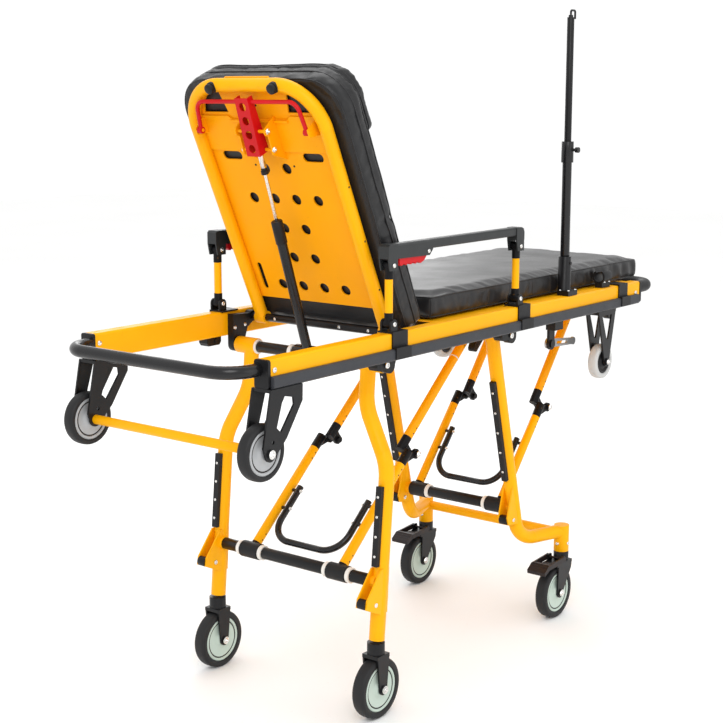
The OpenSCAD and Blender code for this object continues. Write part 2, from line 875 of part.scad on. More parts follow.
module armrest_lever() {
    lever_z = [lever_hinge[1] - 26, lever_hinge[1] - 6.5];
    x0 = lever_hinge[0] - 110;
    color("firebrick") difference() {
        plate(arm_y - 9, arm_y + 9) {
            translate(lever_hinge) circle(4.2);
            polygon([lever_hinge + [0, 3.9], lever_hinge + [3, -3],
                    [x0 + 98, lever_z[0] + 6], [x0 + 84, lever_z[0]],
                    [x0 + 6, lever_z[0]], [x0, lever_z[0] + 6], [x0, lever_z[1]],
                    [x0 + 90, lever_z[1]]]);
        }
        plate(arm_y - 10, arm_y + 10)
            for (i = [0:3]) translate([x0 + 18 + 18 * i, lever_z[0] - 6]) circle(10);
        crossbar(lever_hinge, arm_y - 10, arm_y + 10, 5 + fit);
    }
}

// ---- Infusion pole ----

module pole_socket() {
    color("#202224") difference() {
        union() {
            translate([pole_x - 24, -rail_out, rail_top]) cube([48, rail_w, 14]);
            translate([pole_x, pole_y, rail_top]) cylinder(d = 35, h = 106);
            crossbar([pole_x, 1024], pole_y - 20.5, pole_y, 9);
        }
        translate([pole_x, pole_y, rail_top + 12]) cylinder(d = pole_d, h = 120);
    }
}

module pole_outer_tube() {
    color("#1b1c1e") difference() {
        union() {
            translate([pole_x, pole_y, rail_top + 12]) cylinder(d = pole_d, h = 348);
            translate([pole_x, pole_y, 1296]) cylinder(d = 33, h = 56);
            crossbar([pole_x, 1330], pole_y - 26, pole_y, 8);
            crossbar([pole_x, 1330], pole_y - 35, pole_y - 26, 15);
        }
        translate([pole_x, pole_y, rail_top + 16]) cylinder(d = inner_pole_d + fit, h = 450);
    }
}

module pole_inner_tube() {
    top_z = 1678;
    color("#26272a") translate([pole_x, pole_y, 0]) {
        translate([0, 0, 1226]) cylinder(d = inner_pole_d, h = top_z - 1226);
        translate([0, 0, top_z]) cylinder(d = 12, h = 6);
        bent_tube([[0, 0, top_z + 4], [0, 0, top_z + 18.2], [22, 0, top_z + 18.2],
                [22, 0, top_z - 4]], 5, 5.6);
    }
}

module pole_clip() {
    y = -265;
    z = 967;
    color("#202224") along_x(clip_x[0], clip_x[1]) {
        difference() {
            translate([y, z]) circle(19.5);
            translate([y, z]) circle(14);
            polygon([[y, z], [y - 16, z + 24], [y + 16, z + 24]]);
        }
        difference() {
            translate([y - 12, rail_top]) square([24, 16]);
            translate([y, z]) circle(17);
        }
    }
}

// ---- Fold release under the right rail ----

release_x = 401;
release_pin = [release_x, 797];

module release_bracket() {
    color("#202224") {
        translate([release_x - 21, -rail_in, 838]) cube([42, 22, 52]);
        translate([release_x - 21, -230, 838]) cube([42, 8, 40]);
        plate(-230, -222) {
            translate([release_x - 14, release_pin[1]]) square([28, 44]);
            translate(release_pin) circle(17);
        }
        crossbar(release_pin, -232, -210, 10 - fit);
        crossbar(release_pin, -234, -231.8, 22);
    }
}

module release_lever() {
    tip = [534, 787];
    color("#8a8d90") difference() {
        plate(-221.6, -215) {
            translate(release_pin) circle(15);
            translate(tip) circle(11);
            polygon([beside(release_pin, tip, release_pin, 12),
                    beside(release_pin, tip, tip, 9), beside(release_pin, tip, tip, -9),
                    beside(release_pin, tip, release_pin, -12)]);
        }
        crossbar(release_pin, -222, -214, 10);
        plate(-222, -214) {
            translate(along(release_pin, tip, 45)) circle(4.4);
            translate(along(release_pin, tip, 95)) circle(4.4);
            polygon([for (d = [45, 95], s = [1, -1])
                beside(release_pin, tip, along(release_pin, tip, d), d == 45 ? 4.4 * s : -4.4 * s)]);
        }
    }
}

// ---- Nodes ----

module side_rail_left() { color("gold") side_rail(); }
module side_rail_right() { color("gold") mirror([0, 1, 0]) side_rail(); }
module loading_wheel_left() { color("#303234") loading_wheel(); }
module loading_wheel_right() { color("#303234") mirror([0, 1, 0]) loading_wheel(); }
module aux_wheel_left() { color("white") aux_wheel(); }
module aux_wheel_right() { color("white") mirror([0, 1, 0]) aux_wheel(); }
module front_wheel_left() { color("#303234") front_wheel(); }
module front_wheel_right() { color("#303234") mirror([0, 1, 0]) front_wheel(); }
module rear_castor_left() { color("#202224") rear_castor(); }
module rear_castor_right() { color("#202224") mirror([0, 1, 0]) rear_castor(); }
module rear_wheel_left() { color("#303234") rear_wheel(); }
module rear_wheel_right() { color("#303234") mirror([0, 1, 0]) rear_wheel(); }
module brake_pedal_left() { color("#3b2a24") brake_pedal(); }
module brake_pedal_right() { color("#3b2a24") mirror([0, 1, 0]) brake_pedal(); }
module armrest_left_head_post() { armrest_post(arm_x[0]); }
module armrest_left_foot_post() { armrest_post(arm_x[1]); }
module armrest_left_grip() { armrest_grip(); }
module armrest_left_lever() { armrest_lever(); }
module armrest_right_head_post() { mirror([0, 1, 0]) armrest_post(arm_x[0]); }
module armrest_right_foot_post() { mirror([0, 1, 0]) armrest_post(arm_x[1]); }
module armrest_right_grip() { mirror([0, 1, 0]) armrest_grip(); }
module armrest_right_lever() { mirror([0, 1, 0]) armrest_lever(); }

side_rail_left();
side_rail_right();
rail_bumpers();
rail_castings();
pivot_castings();
pivot_tubes();
backrest_hinge_tube();
head_handle();
foot_handle();
loading_crossbar();
loading_wheel_brackets();
loading_wheel_left();
loading_wheel_right();
aux_wheel_forks();
aux_wheel_left();
aux_wheel_right();
leg_deck();
leg_mattress();
backrest_frame();
backrest_panel();
backrest_mattress();
backrest_knobs();
backrest_release_handle();
gas_spring_cylinder();
gas_spring_rod();
front_leg_frame();
front_lower_tube();
front_buffer_strips();
front_castor_forks();
front_wheel_left();
front_wheel_right();
front_lower_stays();
front_hoop();
front_upper_stays();
rear_leg_frame();
rear_lower_tube();
rear_buffer_strips();
rear_castor_left();
rear_castor_right();
rear_wheel_left();
rear_wheel_right();
brake_pedal_left();
brake_pedal_right();
rear_lower_stays();
rear_hoop();
rear_upper_stays();
armrest_left_head_post();
armrest_left_foot_post();
armrest_left_grip();
armrest_left_lever();
armrest_right_head_post();
armrest_right_foot_post();
armrest_right_grip();
armrest_right_lever();
pole_socket();
pole_outer_tube();
pole_inner_tube();
pole_clip();
release_bracket();
release_lever();
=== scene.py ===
import json
import math

import bmesh
import bpy
import numpy as np
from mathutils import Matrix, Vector, noise
from mathutils.bvhtree import BVHTree


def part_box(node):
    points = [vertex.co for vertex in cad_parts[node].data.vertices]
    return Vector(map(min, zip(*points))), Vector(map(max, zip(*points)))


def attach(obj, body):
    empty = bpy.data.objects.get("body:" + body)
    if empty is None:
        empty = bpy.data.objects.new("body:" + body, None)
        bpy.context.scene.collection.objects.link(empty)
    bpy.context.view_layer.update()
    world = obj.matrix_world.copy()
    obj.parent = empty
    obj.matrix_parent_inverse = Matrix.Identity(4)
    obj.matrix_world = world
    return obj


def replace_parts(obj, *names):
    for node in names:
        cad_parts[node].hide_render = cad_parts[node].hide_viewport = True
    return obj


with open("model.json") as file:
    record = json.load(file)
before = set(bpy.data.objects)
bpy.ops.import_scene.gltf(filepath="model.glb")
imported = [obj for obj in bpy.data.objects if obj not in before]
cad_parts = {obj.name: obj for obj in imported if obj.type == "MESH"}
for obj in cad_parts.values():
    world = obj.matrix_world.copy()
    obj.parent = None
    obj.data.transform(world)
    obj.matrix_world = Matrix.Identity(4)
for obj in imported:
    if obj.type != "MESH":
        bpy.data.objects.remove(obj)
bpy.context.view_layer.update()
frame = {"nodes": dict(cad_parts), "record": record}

MM = 0.001

# Backrest axes from the hinge: s up the backrest, n toward the patient, in mm
BACK_ANGLE = math.radians(65.26)
CB, SB = math.cos(BACK_ANGLE), math.sin(BACK_ANGLE)
HINGE = sum(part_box("backrest_hinge_tube"), Vector()) / 2 / MM
UP_BACK = Vector((-CB, 0, SB))
OUT_BACK = Vector((SB, 0, CB))

# Pivots of the legs and stays as (x, z) in mm
FRONT_PIVOT, REAR_PIVOT, FOOT_PIVOT = (-370, 852), (162, 852), (695, 852)
FRONT_LOW, FRONT_MID, FRONT_KNEE = (-428, 337), (-149, 584), (-117, 572)
REAR_LOW, REAR_MID, REAR_KNEE = (282, 345), (495, 598), (529, 584)
FRONT_FOOT, REAR_CORNER = (-435, 160), (311, 246)
LOWER_STAY_Y, UPPER_STAY_Y = 142, 116
FRONT_LEG_Y, REAR_LEG_Y, REAR_CASTOR_Y = 261, 187, 239

# Side rails and armrests: distances from the middle, post places along x, the height of the
# pins in the grip, and the lever's pin as (x, z), in mm
RAIL_Y, ARM_Y = 270, 271
ARM_X, GRIP_Z, LEVER_PIN = (-402, 141), 1093, (-263, 1115)

# Release bar pivot and gas spring eye on the backrest, as (s, n) in mm
RELEASE_PIVOT, SPRING_EYE = (537, -25), (490, -22)

# Rod collar below the gas spring's upper eye, cylinder cap above its lower end, in mm
COLLAR_DROP, CAP_RISE = 54, 322

# Distance up the backrest of the cushion's sewn channel, in mm
CHANNEL_S = 272


def vec(x, y, z):
    return Vector((x, y, z)) * MM


def at(p, y):
    return vec(p[0], y, p[1])


def on_back(s, y, n):
    return (Vector((HINGE.x, y, HINGE.z)) + UP_BACK * s + OUT_BACK * n) * MM


# ---- Camera, floor and light ----

def make_camera():
    yaw, pitch = 0.6671, 0.1831
    data = bpy.data.cameras.new("camera")
    data.lens, data.sensor_width = 73.1, 36.0
    data.clip_end = 60
    camera = bpy.data.objects.new("camera", data)
    camera.location = (-3.0745, -2.2957, 1.4892)
    forward = Vector((math.cos(pitch) * math.cos(yaw), math.cos(pitch) * math.sin(yaw),
                      -math.sin(pitch)))
    camera.rotation_euler = forward.to_track_quat("-Z", "Y").to_euler()
    bpy.context.scene.collection.objects.link(camera)
    bpy.context.scene.camera = camera


def area_light(name, place, target, size, power):
    data = bpy.data.lights.new(name, "AREA")
    data.shape, data.size, data.energy = "DISK", size, power
    light = bpy.data.objects.new(name, data)
    light.location = place
    light.rotation_euler = (Vector(target) - Vector(place)).to_track_quat("-Z", "Y").to_euler()
    bpy.context.scene.collection.objects.link(light)


def make_studio():
    world = bpy.data.worlds.new("studio")
    world.use_nodes = True
    background = world.node_tree.nodes["Background"]
    background.inputs["Color"].default_value = (1.0, 1.0, 1.0, 1)
    background.inputs["Strength"].default_value = 1.04
    bpy.context.scene.world = world
    bpy.context.scene.view_settings.view_transform = "Standard"
    area_light("key", (-3.2, -2.6, 3.6), (0, 0, 0.7), 2.6, 62)
    area_light("fill", (0.5, -4.2, 1.8), (0, 0, 0.6), 3.0, 16)
    area_light("top", (0.8, 0.6, 4.0), (0, 0, 0.6), 3.0, 30)
    area_light("back", (2.8, 3.0, 2.2), (0, 0, 0.8), 2.4, 22)
    bm = bmesh.new()
    bmesh.ops.create_grid(bm, x_segments=8, y_segments=8, size=14)
    mesh = bpy.data.meshes.new("floor")
    bm.to_mesh(mesh)
    bm.free()
    floor = bpy.data.objects.new("floor", mesh)
    bpy.context.scene.collection.objects.link(floor)
    mesh.materials.append(material("floor_white", (0.96, 0.96, 0.955), 0.9, variation=0.01,
                                   scale=0.8, grain=0, specular=0.2))


# ---- Materials ----

class Nodes:
    """Short names for making and joining shader nodes."""

    def __init__(self, name):
        self.mat = bpy.data.materials.new(name)
        self.mat.use_nodes = True
        self.tree = self.mat.node_tree
        self.shader = self.tree.nodes["Principled BSDF"]
        self.place = self.add("ShaderNodeTexCoord").outputs["Object"]

    def add(self, kind, **settings):
        made = self.tree.nodes.new(kind)
        for key, value in settings.items():
            setattr(made, key, value)
        return made

    def wire(self, source, target):
        self.tree.links.new(source, target)

    def math(self, operation, a, b=0.0, c=None):
        made = self.add("ShaderNodeMath", operation=operation)
        for i, value in enumerate((a, b) if c is None else (a, b, c)):
            if isinstance(value, (int, float)):
                made.inputs[i].default_value = value
            else:
                self.wire(value, made.inputs[i])
        return made.outputs[0]

    def noise(self, scale, detail=3.0):
        made = self.add("ShaderNodeTexNoise")
        made.inputs["Scale"].default_value = scale
        made.inputs["Detail"].default_value = detail
        self.wire(self.place, made.inputs["Vector"])
        return made.outputs["Fac"]

    def ramp(self, source, lo, hi, out_lo=0.0, out_hi=1.0):
        made = self.add("ShaderNodeMapRange")
        for key, value in (("From Min", lo), ("From Max", hi), ("To Min", out_lo),
                           ("To Max", out_hi)):
            made.inputs[key].default_value = value
        self.wire(source, made.inputs["Value"])
        return made.outputs["Result"]

    def blend(self, factor, a, b):
        """Colour a where factor is 0 and b where it is 1."""
        made = self.add("ShaderNodeMix", data_type="RGBA")
        self.wire(factor, made.inputs["Factor"])
        for key, value in (("A", a), ("B", b)):
            socket = [s for s in made.inputs if s.name == key and s.type == "RGBA"][0]
            if isinstance(value, tuple):
                socket.default_value = (*value, 1)
            else:
                self.wire(value, socket)
        return [s for s in made.outputs if s.type == "RGBA"][0]

    def bump(self, height, distance, strength=1.0, normal=None):
        made = self.add("ShaderNodeBump")
        made.inputs["Distance"].default_value = distance
        made.inputs["Strength"].default_value = strength
        self.wire(height, made.inputs["Height"])
        if normal:
            self.wire(normal, made.inputs["Normal"])
        return made.outputs[0]

    def set(self, **values):
        for key, value in values.items():
            socket = self.shader.inputs[key.replace("_", " ")]
            if isinstance(value, (int, float)):
                socket.default_value = value
            elif isinstance(value, tuple):
                socket.default_value = (*value, 1)
            else:
                self.wire(value, socket)


def tint(colour, factor):
    return tuple(min(1.0, c * factor) for c in colour)


def material(name, colour, rough, metallic=0.0, variation=0.08, scale=7.0, grain=0.00006,
             grain_scale=650.0, specular=0.5, second=None, mask=None):
    """Painted or moulded surface; where mask is given, second is the colour inside it."""
    rough_change, second_rough = 0.07, 0.4
    n = Nodes(name)
    cloud = n.ramp(n.noise(scale), 0.3, 0.7)
    base = n.blend(cloud, tint(colour, 1 - variation), tint(colour, 1 + variation))
    roughness = n.ramp(n.noise(scale * 4, 5), 0.3, 0.7, rough - rough_change,
                       rough + rough_change)
    if mask:
        inside = mask(n)
        base = n.blend(inside, base, second)
        roughness = n.math("MULTIPLY_ADD", inside, second_rough - rough, roughness)
    # Fine dust and rubbed specks
    specks = n.ramp(n.noise(90, 6), 0.66, 0.74)
    base = n.blend(n.math("MULTIPLY", specks, 0.22), base, tint(colour, 0.62))
    n.set(Base_Color=base, Roughness=roughness, Metallic=metallic)
    n.shader.inputs["Specular IOR Level"].default_value = specular
    if grain:
        n.set(Normal=n.bump(n.noise(grain_scale, 2), grain))
    return n.mat


def beyond(axis_point, direction, bands):
    """Mask that is 1 where the distance along direction (x, z) from axis_point is in a band."""
    length = math.hypot(*direction)
    dx, dz = direction[0] / length, direction[1] / length

    def mask(n):
        split = n.add("ShaderNodeSeparateXYZ")
        n.wire(n.place, split.inputs[0])
        x = n.math("SUBTRACT", split.outputs["X"], axis_point[0] * MM)
        z = n.math("SUBTRACT", split.outputs["Z"], axis_point[1] * MM)
        d = n.math("ADD", n.math("MULTIPLY", x, dx), n.math("MULTIPLY", z, dz))
        total = None
        for lo, hi in bands:
            part = n.math("MULTIPLY", n.math("GREATER_THAN", d, lo * MM),
                          n.math("LESS_THAN", d, hi * MM))
            total = part if total is None else n.math("MAXIMUM", total, part)
        return total

    return mask


def vinyl(name, colour, rough):
    """Coated upholstery cloth: pebble grain, soft creases and scuffed sheen."""
    n = Nodes(name)
    cloud = n.ramp(n.noise(5), 0.3, 0.7)
    base = n.blend(cloud, tint(colour, 0.8), tint(colour, 1.25))
    pebble = n.add("ShaderNodeTexVoronoi")
    pebble.inputs["Scale"].default_value = 720
    n.wire(n.place, pebble.inputs["Vector"])
    creases = n.noise(14, 3)
    soft = n.bump(creases, 0.0012, 0.3)
    roughness = n.ramp(n.noise(6, 4), 0.3, 0.7, rough - 0.05, rough + 0.06)
    n.set(Base_Color=base, Roughness=roughness,
          Normal=n.bump(pebble.outputs["Distance"], 0.00025, 0.5, soft))
    n.shader.inputs["Specular IOR Level"].default_value = 0.34
    n.shader.inputs["Sheen Weight"].default_value = 0.03
    return n.mat


YELLOW = (0.94, 0.425, 0.001)
YELLOW_DEEP = (0.93, 0.375, 0.001)
BLACK = (0.006, 0.006, 0.007)
MATS = {
    "yellow_paint": material("yellow_coat", YELLOW, 0.38, specular=0.14, grain=0.00004,
                             variation=0.04),
    "black_metal": material("black_coat", (0.007, 0.007, 0.008), 0.34, specular=0.28),
    "black_plastic": material("black_moulding", (0.008, 0.008, 0.009), 0.48, specular=0.28,
                              grain=0.00012),
    "red_paint": material("red_coat", (0.55, 0.004, 0.008), 0.36, specular=0.22),
    "bright_steel": material("bright_steel", (0.78, 0.77, 0.75), 0.16, metallic=1.0,
                             grain=0),
    "grey_steel": material("zinc_steel", (0.42, 0.43, 0.44), 0.38, metallic=0.9),
    "wheel_rubber": material("tyre_rubber", (0.014, 0.014, 0.015), 0.55, grain=0.00015,
                             grain_scale=480, specular=0.3),
    "pale_rubber": material("pale_tyre", (0.50, 0.50, 0.49), 0.42),
    "pedal_plastic": material("pedal_moulding", (0.016, 0.010, 0.010), 0.45, specular=0.3),
    "black_vinyl": vinyl("black_vinyl", (0.010, 0.010, 0.011), 0.36),
}
GREY_RUBBER = material("bumper_rubber", (0.032, 0.034, 0.040), 0.5, specular=0.35,
                       grain=0.00015)
GRIP = material("grip_moulding", (0.018, 0.020, 0.021), 0.44, specular=0.4, grain=0.0002,
                grain_scale=380)
HUB_PALE = material("hub_pale", (0.50, 0.60, 0.53), 0.38, variation=0.05)
HUB_GREY = material("hub_grey", (0.40, 0.41, 0.42), 0.36, variation=0.05)
NYLON = material("white_nylon", (0.80, 0.77, 0.72), 0.42)
# Near-black for the stay holes, the hub groove and the rivet holes: painted shade standing in
# for the dark inside of these recesses
RECESS_SHADE = material("painted_recess_shade", (0.01, 0.006, 0.004), 0.8)
CASTING = material("casting_black", (0.006, 0.006, 0.007), 0.42, specular=0.28, grain=0.0002,
                   grain_scale=320)
BAR_BLACK = material("bar_black", (0.006, 0.006, 0.007), 0.26, specular=0.4)
PIPING = vinyl("piping_vinyl", (0.008, 0.008, 0.009), 0.34)
PANEL = material("panel_coat", YELLOW_DEEP, 0.42, specular=0.12, grain=0.00005, variation=0.04)


def stay_material(name, low, mid, end_black):
    """Yellow stay, black up to end_black mm from its low end and again at its knee."""
    along = (mid[0] - low[0], mid[1] - low[1])
    length = math.hypot(*along)
    return material(name, YELLOW_DEEP if "upper" in name else YELLOW, 0.38, specular=0.14,
                    grain=0.00004, variation=0.04, second=BLACK,
                    mask=beyond(low, along, [(-40, end_black), (length - 42, length + 90)]))


def soften(piece, width):
    bevel = piece.modifiers.new("bevel", "BEVEL")
    bevel.width, bevel.segments = width, 2
    return bevel


def dress_nodes():
    """Gives every CAD node its material and softens its edges."""
    special = {
        "rail_bumpers": GREY_RUBBER, "rail_castings": CASTING, "pivot_castings": CASTING,
        "front_hoop": BAR_BLACK, "rear_hoop": BAR_BLACK, "gas_spring_cylinder": BAR_BLACK,
        "pole_outer_tube": BAR_BLACK,
        "armrest_left_grip": GRIP, "armrest_right_grip": GRIP, "backrest_panel": PANEL,
        "front_lower_stays": stay_material("front_lower_stay", FRONT_LOW, FRONT_MID, 23),
        "rear_lower_stays": stay_material("rear_lower_stay", REAR_LOW, REAR_MID, 23),
        "front_upper_stays": stay_material("front_upper_stay", REAR_PIVOT, FRONT_MID, 0),
        "rear_upper_stays": stay_material("rear_upper_stay", FOOT_PIVOT, REAR_MID, 0),
    }
    post = material("post_coat", YELLOW, 0.38, specular=0.14, grain=0.00004, variation=0.04,
                    second=BLACK,
                    mask=beyond((0, 957), (0, 1), [(-30, 26), (104, 190)]))
    for row in frame["record"]["subparts"]:
        name = row["node"]
        node = frame["nodes"][name]
        made = special.get(name, MATS[row["material_slot"]])
        if name.endswith("_post"):
            made = post
        node.data.materials.clear()
        node.data.materials.append(made)
        if "mattress" in name or "wheel" in name and "brackets" not in name:
            continue
        weld = node.modifiers.new("weld", "WELD")
        weld.merge_threshold = 0.00002
        bevel = soften(node, 0.0009)
        bevel.limit_method, bevel.angle_limit = "ANGLE", math.radians(35)
        bevel.harden_normals = True


# ---- Mesh helpers ----

def linked(name, bm):
    """Object in the scene, made from bm."""
    bmesh.ops.recalc_face_normals(bm, faces=bm.faces)
    mesh = bpy.data.meshes.new(name)
    bm.to_mesh(mesh)
    bm.free()
    piece = bpy.data.objects.new(name, mesh)
    bpy.context.scene.collection.objects.link(piece)
    return piece


def from_bmesh(name, bm, mat, body, slot=None, smooth=40):
    """Finished piece on a body, sharp at edges above smooth degrees."""
    piece = linked(name, bm)
    piece.data.materials.append(mat)
    piece.data.shade_smooth()
    if smooth:
        piece.data.set_sharp_from_angle(angle=math.radians(smooth))
    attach(piece, body)
    return piece


def steel(name, bm, body, smooth=40):
    return from_bmesh(name, bm, MATS["bright_steel"], body, "bright_steel", smooth)


def lathe(bm, centre, axis, profile, segments=64, lobes=0, lobe=0.0):
    """Closed ring, or a solid where the profile starts and ends on the axis. Sizes in mm.

    lobes waves run round it, each lobe deep as a part of the radius.
    """
    turn = Vector(axis).normalized().to_track_quat("Z", "Y")
    loops = []
    for r, h in profile:
        if r <= 1e-6:
            loops.append([bm.verts.new(centre + turn @ Vector((0, 0, h * MM)))])
            continue
        loop = []
        for i in range(segments):
            a = 2 * math.pi * i / segments
            rr = r * (1 + lobe * math.cos(lobes * a)) if lobes else r
            loop.append(bm.verts.new(
                centre + turn @ Vector((math.cos(a) * rr * MM, math.sin(a) * rr * MM, h * MM))))
        loops.append(loop)
    closed = len(loops[0]) > 1 and len(loops[-1]) > 1
    pairs = list(zip(loops, loops[1:])) + ([(loops[-1], loops[0])] if closed else [])
    for a, b in pairs:
        for i in range(segments):
            j = (i + 1) % segments
            if len(a) == 1:
                bm.faces.new((a[0], b[i], b[j]))
            elif len(b) == 1:
                bm.faces.new((a[i], b[0], a[j]))
            else:
                bm.faces.new((a[i], b[i], b[j], a[j]))


def sweep(bm, points, radius, segments, closed=False):
    """Tube through points; radius in mm."""
    count = len(points)
    tangents = []
    for i in range(count):
        a = points[(i - 1) % count] if closed or i else points[i]
        b = points[(i + 1) % count] if closed or i < count - 1 else points[i]
        tangents.append((b - a).normalized())
    side = tangents[0].orthogonal().normalized()
    rings = []
    for p, t in zip(points, tangents):
        side = (side - t * side.dot(t)).normalized()
        up = t.cross(side)
        rings.append([bm.verts.new(
            p + (side * math.cos(2 * math.pi * k / segments)
                 + up * math.sin(2 * math.pi * k / segments)) * radius * MM)
            for k in range(segments)])
    pairs = list(zip(rings, rings[1:])) + ([(rings[-1], rings[0])] if closed else [])
    for a, b in pairs:
        for k in range(segments):
            m = (k + 1) % segments
            bm.faces.new((a[k], a[m], b[m], b[k]))
    if not closed:
        bm.faces.new(list(reversed(rings[0])))
        bm.faces.new(rings[-1])


def screw(bm, centre, axis, r, h):
    """Domed screw head with a six-sided recess."""
    lathe(bm, centre, axis, [(0, h * 0.35), (r * 0.42, h * 0.35)], 6)
    lathe(bm, centre, axis, [(r * 0.42, h * 0.35), (r * 0.44, h * 0.97), (r * 0.7, h),
                             (r * 0.93, h * 0.72), (r, h * 0.3), (r, -0.6),
                             (r * 0.42, -0.6)], 24)


def nut(bm, centre, axis, r, h):
    """Hexagon nut on a washer, with the rounded end of its bolt."""
    lathe(bm, centre, axis, [(0, 1.6), (r * 1.2, 1.6), (r * 1.25, 1.2), (r * 1.25, -0.4),
                             (0, -0.4)], 32)
    lathe(bm, centre, axis, [(0, h), (r * 0.86, h), (r, h - 1.2), (r, 1.4), (0, 1.4)], 6)
    lathe(bm, centre, axis, [(0, h + 3), (r * 0.35, h + 2.8), (r * 0.46, h + 1.8),
                             (r * 0.46, h - 0.5), (0, h - 0.5)], 24)


def line(a, b, d):
    """Point (x, z) at d mm from a toward b."""
    length = math.hypot(b[0] - a[0], b[1] - a[1])
    return (a[0] + (b[0] - a[0]) * d / length, a[1] + (b[1] - a[1]) * d / length)


# ---- Wheels ----

def wheel(node, body, slot, hub_mat, rim):
    """Tyre and hub in the place of a CAD wheel; rim is the tyre's inner radius in mm."""
    lo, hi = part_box(node)
    centre = (lo + hi) / 2
    r = (hi.z - lo.z) / 2 / MM
    half = (hi.y - lo.y) / 2 / MM - 1
    bm = bmesh.new()
    crown = [(r - 5.5, -half), (r - 2.0, -half + 2.2), (r - 0.5, -half + 6), (r, -half + 10),
             (r, half - 10), (r - 0.5, half - 6), (r - 2.0, half - 2.2), (r - 5.5, half)]
    wall = [(rim + 4, half), (rim + 1.5, half - 1.0), (rim, half - 3.5),
            (rim, -half + 3.5), (rim + 1.5, -half + 1.0), (rim + 4, -half)]
    lathe(bm, centre, (0, 1, 0), crown + wall, 96)
    tyre = from_bmesh("tyre_" + node, bm, MATS[slot], body, slot, 50)
    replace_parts(tyre, node)
    bm = bmesh.new()
    face = half - 3.2
    boss = 17.0
    side = [(rim + 0.2, face), (rim - 2.4, face + 1.8), (rim - 5.6, face + 1.6),
            (rim - 7.4, face - 0.6), (rim - 8.6, face - 3.0), (rim - 9.6, face - 0.8),
            (rim * 0.62, face - 2.2), (boss + 7, face - 2.4), (boss + 3, face - 0.4),
            (boss, face + 2.6), (boss - 3, face + 3.6), (7.0, face + 3.8)]
    profile = side + [(a, -b) for a, b in reversed(side)]
    lathe(bm, centre, (0, 1, 0), profile, 96)
    from_bmesh("hub_" + node, bm, hub_mat, body, None, 32)
    # Dark ring laid over the hub's groove: painted shade of the groove
    bm = bmesh.new()
    ring(bm, centre, (0, 1, 0), rim - 10.4, rim - 6.4, (face - 0.5) * 2)
    from_bmesh("hub_groove_shade_" + node, bm, RECESS_SHADE, body, None, 32)


def make_wheels():
    for side in ("left", "right"):
        for kind, slot, hub_mat, rim in (
                ("front_wheel_", "wheel_rubber", HUB_PALE, 57),
                ("rear_wheel_", "wheel_rubber", HUB_PALE, 57),
                ("loading_wheel_", "wheel_rubber", HUB_GREY, 49),
                ("aux_wheel_", "pale_rubber", MATS["black_plastic"], 34)):
            wheel(kind + side, kind + side[0], slot, hub_mat, rim)
    for name, body, (x, y, z), half, r, faces in (
            ("front_axle_nuts", "front_legs", (-435, FRONT_LEG_Y, 75), 28, 8.0, (1, -1)),
            ("aux_axle_nuts", "base", (598, 273, 725), 26, 6.0, (1, -1)),
            ("loading_axle_nuts", "base", (-846, 271, 738), 32, 8.0, (1,))):
        bm = bmesh.new()
        for sign in (1, -1):
            for out in faces:
                nut(bm, vec(x, sign * y + sign * out * half, z), (0, sign * out, 0), r, 4.5)
        steel(name, bm, body, 30)
    for side, sign in (("l", 1), ("r", -1)):
        bm = bmesh.new()
        for out in (1, -1):
            nut(bm, vec(426.5, sign * REAR_CASTOR_Y + out * 28, 75), (0, out, 0), 8.0, 4.5)
        steel("rear_axle_nuts_" + side, bm, "rear_castor_" + side, 30)


# ---- Fasteners, rings and trim ----

def ring(bm, centre, axis, inner, outer, width):
    """Ring between two radii, width long, its outer edges chamfered; sizes in mm."""
    c = min(1.0, (outer - inner) / 3)
    lathe(bm, centre, axis, [(inner, -width / 2), (outer - c, -width / 2),
                             (outer, -width / 2 + c), (outer, width / 2 - c),
                             (outer - c, width / 2), (inner, width / 2)], 48)


def make_rings():
    for name, body, p, r, places in (
            ("rings_front_pivot", "base", FRONT_PIVOT, 14.0, (167, 51)),
            ("rings_front_low", "front_legs", FRONT_LOW, 15.0, (178, 106)),
            ("rings_rear_low", "rear_legs", REAR_LOW, 15.0, (98,))):
        bm = bmesh.new()
        for y in places:
            for sign in (1, -1):
                ring(bm, at(p, sign * y), (0, 1, 0), r + 0.1, r + 4.2, 11)
        from_bmesh(name, bm, NYLON, body)
    for name, body, p, lo, hi in (
            ("sleeves_front_low", "front_lower_stay", FRONT_LOW, 112.5, 171.5),
            ("sleeves_rear_low", "rear_lower_stay", REAR_LOW, 104, 157.5)):
        bm = bmesh.new()
        for sign in (1, -1):
            ring(bm, at(p, sign * (lo + hi) / 2), (0, 1, 0), 15.3, 20.9, hi - lo)
        from_bmesh(name, bm, MATS["black_plastic"], body, "black_plastic")


